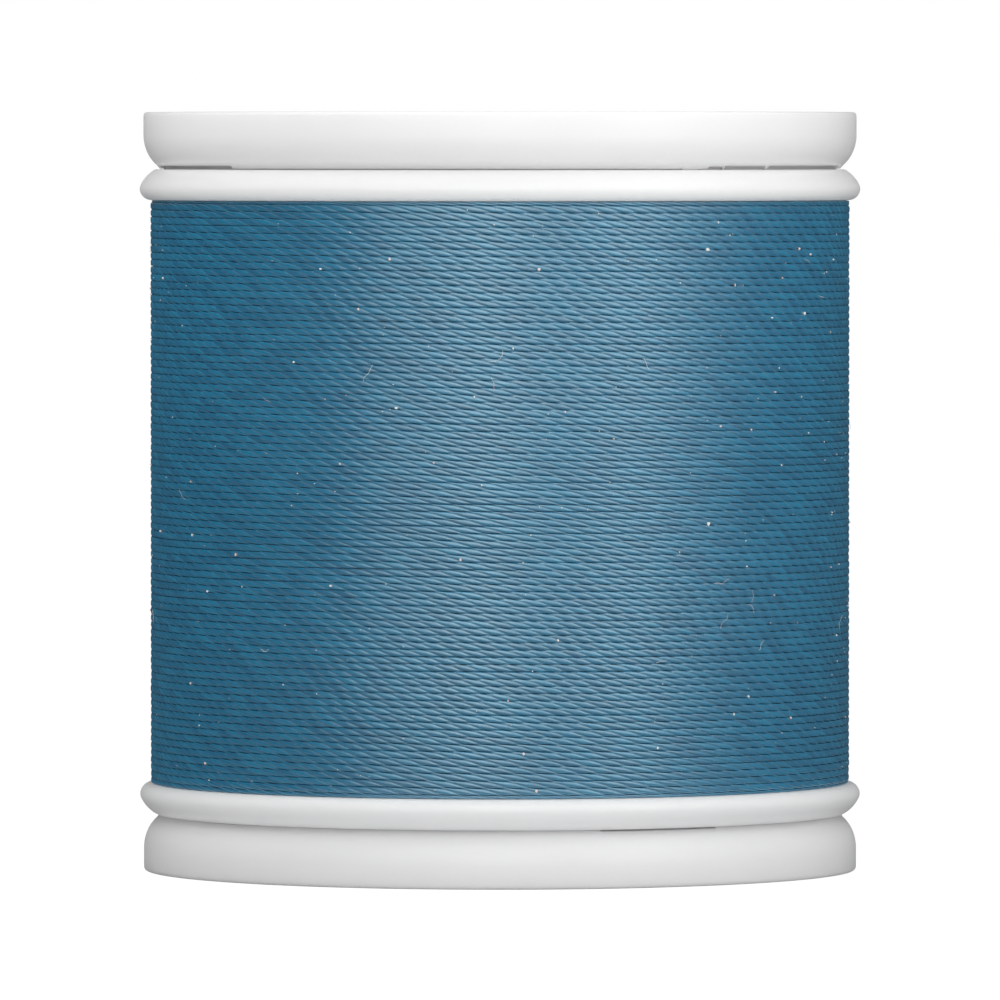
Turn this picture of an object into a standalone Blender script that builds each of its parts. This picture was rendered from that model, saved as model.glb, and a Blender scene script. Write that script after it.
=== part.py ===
"""A snap-lock spool of thread, standing on its lower cap.

A hollow moulded barrel has a beaded flange at each end and carries the thread. A cap
snaps into each end of the barrel. Pulled out by 3 mm, a cap opens the groove between
itself and the flange, where the loose end of the thread is stored. Both caps have a
hole in the middle, so that the spool drops over a machine's spool pin.

Units are metres. +Z is the spool's axis, and the origin is the middle of the face
that the spool stands on.
"""

import math

import bmesh
import bpy
import numpy as np
from mathutils import Matrix, Vector

# Driving dimensions
HEIGHT = 0.0404
CAP_RADIUS = 0.0190
CAP_THICKNESS = 0.002675
BEAD_RADIUS = 0.0192
FLANGE_FACE = 0.00456  # the flange's winding side, from the nearer end of the spool
WINDING_RADIUS = 0.01863
BARREL_RADIUS = 0.0165
BARREL_WALL = 0.0012
PIN_HOLE_RADIUS = 0.0040
CAP_TRAVEL = 0.0030
THREAD_DIAMETER = 0.00040

# Fits
SEAM_GAP = 0.00025
REST_GAP = 0.0003
BARB_GAP = 0.0002

# Flange and bead
BEAD_ROUND = 0.00062
BEAD_NOSE = FLANGE_FACE - BEAD_ROUND
BEAD_SLOPE_WIDTH = 0.00105
BEAD_SLOPE_DEPTH = 0.00108
BEAD_SLOPE_POWER = 1.5
SEAM_FACE = CAP_THICKNESS + SEAM_GAP
STORE_RADII = (0.0162, 0.0176)
STORE_DEPTH = 0.0008
NICK_WIDTH = 0.0010
NICK_DEPTH = 0.00075
NICK_ANGLE = math.radians(66.5)

# Barrel bore
BORE_RADIUS = BARREL_RADIUS - BARREL_WALL
LIP_HEIGHT = 0.0004
LIP_SPAN = (0.0042, 0.0046, 0.0050, 0.0052)
KEY_RIB_END = 0.0053
KEY_RIB_WIDTH = 0.0012
KEY_RIB_DEPTH = 0.0008

# Cap
SHOULDER_START = 0.0012
SHOULDER_RADIUS = 0.0017
CAP_EDGE = 0.00015
RECESS_RADII = (0.0062, 0.0164)
RECESS_DEPTH = 0.0005
WEB_FACE = 0.0017
HUB_RADIUS = 0.0052
HUB_LENGTH = 0.0070
HUB_CHAMFER = 0.0003
SLEEVE_RADIUS = BORE_RADIUS - LIP_HEIGHT - REST_GAP
SLEEVE_WALL = 0.0011
BARB_RADIUS = BORE_RADIUS - BARB_GAP
BARB_FACE = LIP_SPAN[2] + REST_GAP + CAP_TRAVEL
BARB_LENGTH = 0.0006
SLEEVE_END = 0.0096
SLEEVE_TIP = 0.0003
SLOT_START = 0.0045
SLOT_WIDTH = 0.0024
FINGERS = 4

# End labels
LABEL_MARGIN = 0.0002
LABEL_THICKNESS = 0.00015
LABEL_FACE = 0.00015

# Winding
LAYER_TUBE = 0.00080
LAYER_LOOPS = 24
LAYER_LOOP_POINTS = 24
LAYER_END_ANGLE = math.radians(90)
INNER_LAYERS_RADIUS = 0.01735

# Fineness of the meshes
SIDES = 40
BEAD_STEPS = 4
ROUND_STEPS = 3
ROUTE_STEPS = 24
STORE_SPACING = 0.0028
SHARP_ANGLE = math.radians(35)


def principled(name, colour, roughness, metallic=0.0):
    """A plain Principled material."""
    material = bpy.data.materials.new(name)
    material.use_nodes = True
    shader = material.node_tree.nodes["Principled BSDF"]
    shader.inputs["Base Color"].default_value = (*colour, 1.0)
    shader.inputs["Roughness"].default_value = roughness
    shader.inputs["Metallic"].default_value = metallic
    return material


def add_object(name, mesh, material):
    """A smooth-shaded object with sharp creases, linked to the scene."""
    mesh.materials.append(material)
    mesh.shade_smooth()
    mesh.set_sharp_from_angle(angle=SHARP_ANGLE)
    thing = bpy.data.objects.new(name, mesh)
    bpy.context.scene.collection.objects.link(thing)
    return thing


def turned_mesh(name, profile):
    """A closed (radius, height) outline spun once round Z."""
    bm = bmesh.new()
    corners = [bm.verts.new((radius, 0, height)) for radius, height in profile]
    edges = [bm.edges.new((a, b)) for a, b in zip(corners, corners[1:] + corners[:1])]
    bmesh.ops.spin(
        bm, geom=corners + edges, cent=(0, 0, 0), axis=(0, 0, 1),
        angle=math.tau, steps=SIDES, use_merge=True,
    )
    bmesh.ops.recalc_face_normals(bm, faces=bm.faces)
    mesh = bpy.data.meshes.new(name)
    bm.to_mesh(mesh)
    bm.free()
    return mesh


def box_bodies(name, boxes):
    """A hidden object of separate boxes for a Boolean.

    Each box is (angle, radius span, height span, width): it lies along the radius at
    that angle.
    """
    bm = bmesh.new()
    for angle, radii, heights, width in boxes:
        centre = Vector(((radii[0] + radii[1]) / 2, 0, (heights[0] + heights[1]) / 2))
        size = Matrix.Diagonal((radii[1] - radii[0], width, heights[1] - heights[0], 1))
        place = Matrix.Rotation(angle, 4, "Z") @ Matrix.Translation(centre) @ size
        bmesh.ops.create_cube(bm, size=1, matrix=place)
    mesh = bpy.data.meshes.new(name)
    bm.to_mesh(mesh)
    bm.free()
    helper = bpy.data.objects.new(name, mesh)
    helper.hide_render = True
    helper.display_type = "WIRE"
    bpy.context.scene.collection.objects.link(helper)
    return helper


def add_boolean(thing, helper, operation):
    cut = thing.modifiers.new(helper.name, "BOOLEAN")
    cut.object = helper
    cut.operation = operation
    cut.solver = "EXACT"


def finger_angles():
    """The directions of the slots between a cap's snap fingers."""
    return [math.radians(45) + math.tau * i / FINGERS for i in range(FINGERS)]


def upper(height):
    """The same height measured down from the top of the spool."""
    return HEIGHT - height


def bead_outline():
    """The lower flange's rim, from the winding face round the bead to the seam face.

    A quarter circle turns out to the nose. From there the radius falls along a
    superellipse, so the bead's outer side is a soft slope into the seam.
    """
    points = []
    for i in range(ROUND_STEPS + 1):
        turn = math.pi / 2 * i / ROUND_STEPS
        points.append((
            BEAD_RADIUS - BEAD_ROUND + BEAD_ROUND * math.sin(turn),
            BEAD_NOSE + BEAD_ROUND * math.cos(turn),
        ))
    for i in range(1, BEAD_STEPS + 1):
        height = BEAD_NOSE + (SEAM_FACE - BEAD_NOSE) * i / BEAD_STEPS
        share = ((BEAD_NOSE - height) / BEAD_SLOPE_DEPTH) ** BEAD_SLOPE_POWER
        fall = 1 - (1 - share) ** (1 / BEAD_SLOPE_POWER)
        points.append((BEAD_RADIUS - BEAD_SLOPE_WIDTH * fall, height))
    return points


def barrel_end_outline():
    """The lower half of the barrel's section, from the core's outside to its bore."""
    store_floor = SEAM_FACE + STORE_DEPTH
    lip_radius = BORE_RADIUS - LIP_HEIGHT
    return [
        (BARREL_RADIUS, FLANGE_FACE),
        *bead_outline(),
        (STORE_RADII[1], SEAM_FACE),
        (STORE_RADII[1], store_floor),
        (STORE_RADII[0], store_floor),
        (STORE_RADII[0], SEAM_FACE),
        (BORE_RADIUS, SEAM_FACE),
        (BORE_RADIUS, LIP_SPAN[0]),
        (lip_radius, LIP_SPAN[1]),
        (lip_radius, LIP_SPAN[2]),
        (BORE_RADIUS, LIP_SPAN[3]),
    ]


def make_barrel(plastic):
    """The one-piece barrel: core, beaded flanges, stop lips and key ribs."""
    lower_half = barrel_end_outline()
    upper_half = [(radius, upper(height)) for radius, height in reversed(lower_half)]
    barrel = add_object("barrel", turned_mesh("barrel", lower_half + upper_half), plastic)
    rib_radii = (BORE_RADIUS - KEY_RIB_DEPTH, BORE_RADIUS + BARREL_WALL / 2)
    rib_heights = (KEY_RIB_END, upper(KEY_RIB_END))
    ribs = [(angle, rib_radii, rib_heights, KEY_RIB_WIDTH) for angle in finger_angles()]
    add_boolean(barrel, box_bodies("key_ribs", ribs), "UNION")
    nick_radii = (sum(STORE_RADII) / 2, BEAD_RADIUS + NICK_WIDTH)
    nick_floor = SEAM_FACE + NICK_DEPTH
    nicks = [
        (NICK_ANGLE, nick_radii, (0, nick_floor), NICK_WIDTH),
        (NICK_ANGLE, nick_radii, (upper(nick_floor), HEIGHT), NICK_WIDTH),
    ]
    add_boolean(barrel, box_bodies("thread_nicks", nicks), "DIFFERENCE")
    return barrel


def cap_outline():
    """A cap's section, round from the pin hole's mouth and back to it."""
    shoulder = []
    for i in range(BEAD_STEPS + 1):
        height = CAP_THICKNESS + (SHOULDER_START - CAP_THICKNESS) * i / BEAD_STEPS
        rise = height - SHOULDER_START
        inset = SHOULDER_RADIUS - math.sqrt(SHOULDER_RADIUS**2 - rise**2)
        shoulder.append((CAP_RADIUS - inset, height))
    return [
        (PIN_HOLE_RADIUS + HUB_CHAMFER, 0),
        (PIN_HOLE_RADIUS, HUB_CHAMFER),
        (PIN_HOLE_RADIUS, HUB_LENGTH),
        (HUB_RADIUS, HUB_LENGTH),
        (HUB_RADIUS, WEB_FACE),
        (SLEEVE_RADIUS - SLEEVE_WALL, WEB_FACE),
        (SLEEVE_RADIUS - SLEEVE_WALL, SLEEVE_END),
        (SLEEVE_RADIUS - SLEEVE_TIP, SLEEVE_END),
        (BARB_RADIUS, BARB_FACE + BARB_LENGTH),
        (BARB_RADIUS, BARB_FACE),
        (SLEEVE_RADIUS, BARB_FACE),
        (SLEEVE_RADIUS, CAP_THICKNESS),
        *shoulder,
        (CAP_RADIUS, CAP_EDGE),
        (CAP_RADIUS - CAP_EDGE, 0),
        (RECESS_RADII[1], 0),
        (RECESS_RADII[1], RECESS_DEPTH),
        (RECESS_RADII[0], RECESS_DEPTH),
        (RECESS_RADII[0], 0),
    ]


def make_caps(plastic):
    """The two caps, one shape: the upper one is the lower one turned over."""
    slot_radii = (SLEEVE_RADIUS - 2 * SLEEVE_WALL, BARB_RADIUS + SLEEVE_WALL)
    slot_heights = (SLOT_START, SLEEVE_END + SLEEVE_WALL)
    slots = [(angle, slot_radii, slot_heights, SLOT_WIDTH) for angle in finger_angles()]
    mesh = turned_mesh("cap", cap_outline())
    caps = []
    for name in ("lower_cap", "upper_cap"):
        cap = add_object(name, mesh if not caps else mesh.copy(), plastic)
        cutter = box_bodies(name + "_slots", slots)
        add_boolean(cap, cutter, "DIFFERENCE")
        if name == "upper_cap":
            cap.location = cutter.location = (0, 0, HEIGHT)
            cap.rotation_euler = cutter.rotation_euler = (math.pi, 0, 0)
        caps.append(cap)
    return caps


def make_label(name, cap, paper):
    """A blank paper ring in the shallow recess of a cap's outer face."""
    inner = RECESS_RADII[0] + LABEL_MARGIN
    outer = RECESS_RADII[1] - LABEL_MARGIN
    back = LABEL_FACE + LABEL_THICKNESS
    ring = [(inner, LABEL_FACE), (inner, back), (outer, back), (outer, LABEL_FACE)]
    label = add_object(name, turned_mesh(name, ring), paper)
    label.parent = cap
    return label


def make_inner_layers(barrel, thread):
    """The layers of thread under the outer one, as one plain ring on the core."""
    inner = BARREL_RADIUS + REST_GAP
    low = FLANGE_FACE + REST_GAP
    ring = [
        (inner, low),
        (INNER_LAYERS_RADIUS, low),
        (INNER_LAYERS_RADIUS, upper(low)),
        (inner, upper(low)),
    ]
    layers = add_object("thread_inner_layers", turned_mesh("thread_inner_layers", ring), thread)
    layers.parent = barrel
    return layers


def tube(name, points, diameter, bevel_resolution, material):
    """A round tube along the points, with filled ends."""
    curve = bpy.data.curves.new(name, "CURVE")
    curve.dimensions = "3D"
    curve.bevel_depth = diameter / 2
    curve.bevel_resolution = bevel_resolution
    curve.use_fill_caps = True
    spline = curve.splines.new("POLY")
    spline.points.add(len(points) - 1)
    for place, point in zip(spline.points, points):
        place.co = (*point, 1)
    curve.materials.append(material)
    thing = bpy.data.objects.new(name, curve)
    bpy.context.scene.collection.objects.link(thing)
    return thing


def layer_points(points_per_loop):
    """The outer layer's centre line.

    The angle falls by one turn a loop while the height rises evenly from flange to
    flange, so the loops slope down to the right as seen from outside. Each end then
    runs straight on along its tangent for one tube diameter.
    """
    radius = WINDING_RADIUS - LAYER_TUBE / 2
    low = FLANGE_FACE + REST_GAP + LAYER_TUBE / 2
    share = np.linspace(0, 1, LAYER_LOOPS * points_per_loop + 1)
    angle = LAYER_END_ANGLE - math.tau * LAYER_LOOPS * share
    height = low + (upper(low) - low) * share
    points = np.stack([radius * np.cos(angle), radius * np.sin(angle), height], axis=1)
    along = np.array([math.sin(LAYER_END_ANGLE), -math.cos(LAYER_END_ANGLE), 0])
    first = points[0] - along * LAYER_TUBE
    last = points[-1] + along * LAYER_TUBE
    return np.vstack([first, points, last])


def print_layer_gap():
    """Prints the least clear distance between one loop of the outer layer and another."""
    fine = layer_points(4 * LAYER_LOOP_POINTS)
    skip = 2 * LAYER_LOOP_POINTS  # half a loop: nearer points belong to the same loop
    least = math.inf
    for i in range(len(fine) - skip):
        away = np.linalg.norm(fine[i + skip:] - fine[i], axis=1)
        least = min(least, away.min())
    print(f"least gap between the outer layer's loops: {(least - LAYER_TUBE) * 1000:.3f} mm")


def make_outer_layer(barrel, thread):
    layer = tube("thread_outer_layer", layer_points(LAYER_LOOP_POINTS), LAYER_TUBE, 1, thread)
    layer.parent = barrel
    print_layer_gap()
    return layer


def around(angle_degrees, radius_mm, height_mm):
    """A point given by its direction, its distance from the axis and its height."""
    angle = math.radians(angle_degrees)
    return (
        radius_mm / 1000 * math.cos(angle),
        radius_mm / 1000 * math.sin(angle),
        height_mm / 1000,
    )


def smooth_route(route, spacing):
    """A Catmull-Rom curve through the route's points, resampled at an even spacing."""
    knots = np.array([route[0], *route, route[-1]])
    t = np.linspace(0, 1, ROUTE_STEPS, endpoint=False)[:, None]
    pieces = []
    for a, b, c, d in zip(knots, knots[1:], knots[2:], knots[3:]):
        pieces.append(0.5 * (
            2 * b + (c - a) * t + (2 * a - 5 * b + 4 * c - d) * t**2
            + (3 * b - a - 3 * c + d) * t**3
        ))
    curve = np.vstack([*pieces, knots[-1:]])
    length = np.concatenate([[0], np.cumsum(np.linalg.norm(np.diff(curve, axis=0), axis=1))])
    stops = np.linspace(0, length[-1], round(length[-1] / spacing) + 1)
    return np.stack([np.interp(stops, length, curve[:, i]) for i in range(3)], axis=1)


def make_tail(barrel, thread):
    """The loose end: over the upper bead, in through its nick and round the store."""
    over_bead = [
        around(86.2, 18.32, 35.12),
        around(83.0, 18.40, 35.14),
        around(78.0, 18.72, 35.20),
        around(73.5, 19.12, 35.42),
        around(70.5, 19.45, 35.80),
        around(68.3, 19.62, 36.35),
        around(67.0, 19.55, 36.85),
        around(66.5, 19.20, 37.13),
        around(66.5, 18.60, 37.16),
        around(66.5, 17.95, 37.16),
        around(65.8, 17.35, 37.14),
        around(63.2, 17.00, 37.12),
    ]
    store_turn = [around(angle, 16.9, 37.12) for angle in range(58, -250, -12)]
    bends = smooth_route(over_bead, THREAD_DIAMETER)
    stored = smooth_route([over_bead[-1], *store_turn], STORE_SPACING)
    tail = tube("thread_tail", np.vstack([bends, stored[1:]]), THREAD_DIAMETER, 2, thread)
    tail.parent = barrel
    return tail


def make_spool():
    for thing in list(bpy.data.objects):
        bpy.data.objects.remove(thing, do_unlink=True)
    barrel_plastic = principled("barrel_plastic", (0.86, 0.86, 0.85), 0.35)
    cap_plastic = principled("cap_plastic", (0.82, 0.82, 0.82), 0.35)
    label_paper = principled("label_paper", (0.90, 0.90, 0.88), 0.80)
    thread = principled("thread", (0.045, 0.145, 0.235), 0.40)
    barrel = make_barrel(barrel_plastic)
    lower_cap, upper_cap = make_caps(cap_plastic)
    make_label("lower_label", lower_cap, label_paper)
    make_label("upper_label", upper_cap, label_paper)
    make_inner_layers(barrel, thread)
    make_outer_layer(barrel, thread)
    make_tail(barrel, thread)


make_spool()
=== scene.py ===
"""A snap-lock spool of lustrous teal-blue twisted thread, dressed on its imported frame.

The sections follow the spool as it is put together: the barrel, the two caps, their
paper labels, the wound thread, its loose end, and the dust and fibres on it. Lengths
are in metres, and the drawings of sections are in millimetres where they say so.
"""

import math

import bmesh
import bpy
import numpy as np
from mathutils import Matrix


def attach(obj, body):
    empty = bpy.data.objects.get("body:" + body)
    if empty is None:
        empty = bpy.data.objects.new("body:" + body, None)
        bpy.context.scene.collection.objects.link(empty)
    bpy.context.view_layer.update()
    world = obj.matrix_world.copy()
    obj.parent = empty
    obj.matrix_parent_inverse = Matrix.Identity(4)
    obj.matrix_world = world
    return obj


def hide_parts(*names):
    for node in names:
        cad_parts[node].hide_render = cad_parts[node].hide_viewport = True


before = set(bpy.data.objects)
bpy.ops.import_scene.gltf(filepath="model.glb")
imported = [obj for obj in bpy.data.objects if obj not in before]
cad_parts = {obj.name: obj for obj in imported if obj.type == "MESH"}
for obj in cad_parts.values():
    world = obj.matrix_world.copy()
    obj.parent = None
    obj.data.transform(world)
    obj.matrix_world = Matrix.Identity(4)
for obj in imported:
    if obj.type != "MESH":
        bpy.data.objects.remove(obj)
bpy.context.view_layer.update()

scene = bpy.context.scene
scene.view_settings.view_transform = "Standard"
MM = 0.001


# ---------------------------------------------------------------- camera
# A long lens from the height of the spool's upper edge, tipped down a little, square
# to the front. The spool's front is its -Y side.

camera_data = bpy.data.cameras.new("camera")
camera_data.sensor_width = 36.0
camera_data.lens = 456.3
camera = bpy.data.objects.new("camera", camera_data)
camera.location = (0.0, -0.676, 0.0386)
camera.rotation_euler = (math.radians(88.4), 0.0, 0.0)
scene.collection.objects.link(camera)
scene.camera = camera


# ---------------------------------------------------------------- floor
# A plain pale sheet. The camera sees it near white, and it keeps the spool's own shadow.
# The spool stands on its lower cap, so the sheet goes with that cap when it slides out.

def link_mesh(name, vertices, faces, material):
    """A smooth-shaded mesh object at the origin from arrays of points and faces."""
    mesh = bpy.data.meshes.new(name)
    faces = np.asarray(faces)
    mesh.vertices.add(len(vertices))
    mesh.vertices.foreach_set("co", np.asarray(vertices, np.float32).ravel())
    mesh.loops.add(faces.size)
    mesh.loops.foreach_set("vertex_index", faces.astype(np.int32).ravel())
    mesh.polygons.add(len(faces))
    mesh.polygons.foreach_set(
        "loop_start", np.arange(0, faces.size, faces.shape[1], dtype=np.int32))
    mesh.update(calc_edges=True)
    mesh.validate()
    mesh.shade_smooth()
    mesh.materials.append(material)
    thing = bpy.data.objects.new(name, mesh)
    scene.collection.objects.link(thing)
    return thing


def new_material(name):
    """An empty node material and its tree, with an output node."""
    material = bpy.data.materials.new(name)
    material.use_nodes = True
    tree = material.node_tree
    tree.nodes.clear()
    return material, tree, tree.nodes.new("ShaderNodeOutputMaterial")


def grid_faces(rows, columns):
    """The quads of a grid of points numbered row by row."""
    row, column = np.meshgrid(np.arange(rows - 1), np.arange(columns - 1), indexing="ij")
    corner = (row * columns + column).ravel()
    return np.stack([corner, corner + 1, corner + columns + 1, corner + columns], axis=1)


# the sheet lies a hair below the cap, so that no two faces share a plane
FLOOR_REACH = 4.0
FLOOR_HEIGHT = -0.00001
PAPER_GREY = 0.74
PAPER_GREY_IN_GLOSS = 0.12
GLOW = 1.12
GLOW_SHARE = 0.88
edge = np.linspace(-FLOOR_REACH, FLOOR_REACH, 5)
floor_y, floor_x = np.meshgrid(edge, edge, indexing="ij")
floor_z = np.full_like(floor_x, FLOOR_HEIGHT)
floor_points = np.stack([floor_x, floor_y, floor_z], axis=2).reshape(-1, 3)
paper_sheet, tree, output = new_material("backdrop_paper")
paper = tree.nodes.new("ShaderNodeBsdfDiffuse")
tone = tree.nodes.new("ShaderNodeMix")
tone.data_type = "RGBA"
tone.inputs["A"].default_value = (PAPER_GREY, PAPER_GREY, PAPER_GREY, 1.0)
tone.inputs["B"].default_value = (
    PAPER_GREY_IN_GLOSS, PAPER_GREY_IN_GLOSS, PAPER_GREY_IN_GLOSS, 1.0)
tree.links.new(tone.outputs["Result"], paper.inputs["Color"])
glow = tree.nodes.new("ShaderNodeEmission")
glow.inputs["Strength"].default_value = GLOW
path = tree.nodes.new("ShaderNodeLightPath")
share = tree.nodes.new("ShaderNodeMath")
share.operation = "MULTIPLY"
share.inputs[1].default_value = GLOW_SHARE
tree.links.new(path.outputs["Is Camera Ray"], share.inputs[0])
tree.links.new(path.outputs["Is Glossy Ray"], tone.inputs["Factor"])
blend = tree.nodes.new("ShaderNodeMixShader")
tree.links.new(share.outputs[0], blend.inputs[0])
tree.links.new(paper.outputs[0], blend.inputs[1])
tree.links.new(glow.outputs[0], blend.inputs[2])
tree.links.new(blend.outputs[0], output.inputs["Surface"])
floor = link_mesh("floor", floor_points, grid_faces(len(edge), len(edge)), paper_sheet)
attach(floor, "lower_cap_body")


# ---------------------------------------------------------------- lamps
# A row of tall softboxes in front of the spool, from a little left to well right, in a
# pale room. Their reflections make the winding's broad upright sheen.

AIM_HEIGHT = 0.03


def softbox(name, azimuth, elevation, distance, width, height, power):
    """An area lamp aimed at the spool; azimuth 0 is in front, positive to the right."""
    turn, lift = math.radians(azimuth), math.radians(elevation)
    data = bpy.data.lights.new(name, "AREA")
    data.shape = "RECTANGLE"
    data.size = width
    data.size_y = height
    data.energy = power
    lamp = bpy.data.objects.new(name, data)
    away = np.array([
        math.sin(turn) * math.cos(lift), -math.cos(turn) * math.cos(lift), math.sin(lift)])
    lamp.location = away * distance + np.array([0, 0, AIM_HEIGHT])
    lamp.rotation_euler = (math.pi / 2 - lift, 0, turn)
    scene.collection.objects.link(lamp)
    return lamp


SOFTBOX_ELEVATION = 18
SOFTBOX_DISTANCE = 0.13
SOFTBOX_WIDTH = 0.055
SOFTBOX_HEIGHT = 0.14
for side, azimuth, power in (
        ("left", -28, 0.0205), ("front", -2, 0.0368), ("middle", 22, 0.0158),
        ("right", 44, 0.0318), ("side", 66, 0.0098)):
    softbox(f"softbox_{side}", azimuth, SOFTBOX_ELEVATION, SOFTBOX_DISTANCE,
            SOFTBOX_WIDTH, SOFTBOX_HEIGHT, power)

# three more lamps brighten the spool's flanks and keep out of its reflections
VEILED_DISTANCE = 0.11
VEILED_SIZE = 0.08
for side, azimuth, elevation, power in (
        ("left", -65, 50, 0.0330), ("far_left", -95, 42, 0.0260), ("right", 70, 50, 0.0350)):
    veiled = softbox(f"veiled_{side}", azimuth, elevation, VEILED_DISTANCE,
                     VEILED_SIZE, VEILED_SIZE, power)
    veiled.visible_glossy = False


def sum_up(tree, operation, first, second, third=None):
    """A Math node fed by sockets or plain numbers, and its output socket."""
    node = tree.nodes.new("ShaderNodeMath")
    node.operation = operation
    for place, value in enumerate((first, second, third)):
        if value is None:
            continue
        if isinstance(value, (int, float)):
            node.inputs[place].default_value = value
        else:
            tree.links.new(value, node.inputs[place])
    return node.outputs[0]


# The room: each wall lights by the square of the direction's part towards it, and has
# its own strength in reflections. The camera sees the room white. It is sampled by the
# surfaces alone, so that a reflection always finds the strength meant for reflections.
world = bpy.data.worlds.new("surroundings")
world.use_nodes = True
world.cycles.sampling_method = "NONE"
scene.world = world
tree = world.node_tree
tree.nodes.clear()
output = tree.nodes.new("ShaderNodeOutputWorld")
room = tree.nodes.new("ShaderNodeBackground")
room.inputs["Color"].default_value = (1.0, 1.0, 1.0, 1.0)
direction = tree.nodes.new("ShaderNodeSeparateXYZ")
tree.links.new(tree.nodes.new("ShaderNodeTexCoord").outputs["Generated"], direction.inputs[0])
path = tree.nodes.new("ShaderNodeLightPath")


def wall(axis, sign, strength, reflected):
    """A wall's light: its strength times the squared part of the direction towards it."""
    facing = sum_up(tree, "MULTIPLY", direction.outputs[axis], sign)
    towards = sum_up(tree, "MAXIMUM", facing, 0.0)
    seen = sum_up(tree, "MULTIPLY_ADD", path.outputs["Is Glossy Ray"],
                  reflected - strength, strength)
    return sum_up(tree, "MULTIPLY", sum_up(tree, "POWER", towards, 2.0), seen)


# the front, then the back, the left, the right and the ceiling
walls = wall("Y", -1.0, 0.0, 0.02)
for axis, sign, strength, reflected in (
        ("Y", 1.0, 0.70, 0.06), ("X", -1.0, 0.26, 0.0), ("X", 1.0, 0.24, 0.10),
        ("Z", 1.0, 0.42, 0.0)):
    walls = sum_up(tree, "ADD", walls, wall(axis, sign, strength, reflected))
level = tree.nodes.new("ShaderNodeMix")
tree.links.new(path.outputs["Is Camera Ray"], level.inputs["Factor"])
tree.links.new(walls, level.inputs["A"])
level.inputs["B"].default_value = 1.0
tree.links.new(level.outputs["Result"], room.inputs["Strength"])
tree.links.new(room.outputs[0], output.inputs["Surface"])


# ---------------------------------------------------------------- barrel
# The core and its two beaded flanges are one moulding of white plastic. The bore has
# stop lips for the caps' snap fingers and four key ribs, and each flange has a nick
# that lets the loose end of the thread into the store groove behind the cap.

HEIGHT = 40.4
SIDES = 256
SHARP_ANGLE = math.radians(38)


def rounded(corners, steps=5):
    """An outline with its corners rounded off, all in millimetres.

    Each corner is (radius, height, fillet). It turns into the curve
    (1-t)^2 A + 2t(1-t) P + t^2 B, where P is the corner and A and B are the points one
    tangent length before and after it. A corner with no fillet stays one point.
    """
    corners = np.asarray(corners, float)
    points = corners[:, :2]
    before = np.roll(points, 1, axis=0) - points
    after = np.roll(points, -1, axis=0) - points
    long_before = np.linalg.norm(before, axis=1)
    long_after = np.linalg.norm(after, axis=1)
    reach = np.minimum(corners[:, 2], 0.45 * np.minimum(long_before, long_after))
    t = np.linspace(0, 1, steps)[:, None]
    outline = []
    for place, a, b, length, fillet in zip(
            points, before / long_before[:, None], after / long_after[:, None],
            reach, corners[:, 2]):
        if fillet <= 0:
            outline.append(place[None])
            continue
        outline.append(
            (1 - t)**2 * (place + a * length) + 2 * t * (1 - t) * place
            + t**2 * (place + b * length))
    return np.vstack(outline)


def turned(name, section, changes, material):
    """A body turned round Z, closed, with another section over some spans of angle.

    The point at angle a and place k is (r_k cos a, r_k sin a, z_k). Each change is
    (middle angle, half width, sections with as many points); at the ends of its span
    all its sections stand at the same angle, so a flat wall joins them in their order,
    and the last one goes through the span.
    """
    angles = np.linspace(0, math.tau, SIDES, endpoint=False)
    sections = [section]
    which = np.zeros(len(angles), int)
    order = np.zeros(len(angles))
    for middle, half, *steps in changes:
        low, high = (middle - half) % math.tau, (middle + half) % math.tau
        path = np.append(0, len(sections) + np.arange(len(steps)))
        sections += steps
        which[(angles > low) & (angles < high)] = path[-1]
        angles = np.concatenate([angles, np.repeat([low, high], len(path))])
        which = np.concatenate([which, path, path[::-1]])
        order = np.concatenate([order, np.arange(len(path)) - len(path), np.arange(len(path)) + 1])
    rank = np.lexsort((order, angles))
    angles, which = angles[rank], which[rank]
    rz = np.array(sections)[which] * MM
    points = np.stack([
        rz[..., 0] * np.cos(angles)[:, None],
        rz[..., 0] * np.sin(angles)[:, None],
        rz[..., 1],
    ], axis=2).reshape(-1, 3)
    around, along = rz.shape[:2]
    a, k = np.meshgrid(np.arange(around), np.arange(along), indexing="ij")
    a_next, k_next = (a + 1) % around, (k + 1) % along
    faces = np.stack([
        a * along + k, a_next * along + k, a_next * along + k_next, a * along + k_next,
    ], axis=2).reshape(-1, 4)
    thing = link_mesh(name, points, faces, material)
    bm = bmesh.new()
    bm.from_mesh(thing.data)
    bmesh.ops.remove_doubles(bm, verts=bm.verts, dist=1e-7)
    bmesh.ops.recalc_face_normals(bm, faces=bm.faces)
    bm.to_mesh(thing.data)
    bm.free()
    thing.data.shade_smooth()
    thing.data.set_sharp_from_angle(angle=SHARP_ANGLE)
    return thing


def node_group(name, inputs, outputs):
    """A shader node group with its sockets, its tree's input node and output node."""
    group = bpy.data.node_groups.new(name, "ShaderNodeTree")
    for label, kind, value in inputs:
        socket = group.interface.new_socket(name=label, in_out="INPUT", socket_type=kind)
        if value is not None:
            socket.default_value = value
    for label, kind in outputs:
        group.interface.new_socket(name=label, in_out="OUTPUT", socket_type=kind)
    return group, group.nodes.new("NodeGroupInput"), group.nodes.new("NodeGroupOutput")


def spread(tree, value, low, high, to_low, to_high, smooth=True):
    """A Map Range node from low..high to to_low..to_high, and its output socket."""
    node = tree.nodes.new("ShaderNodeMapRange")
    node.interpolation_type = "SMOOTHSTEP" if smooth else "LINEAR"
    tree.links.new(value, node.inputs["Value"])
    for label, number in zip(("From Min", "From Max", "To Min", "To Max"),
                             (low, high, to_low, to_high)):
        node.inputs[label].default_value = number
    return node.outputs[0]


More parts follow.
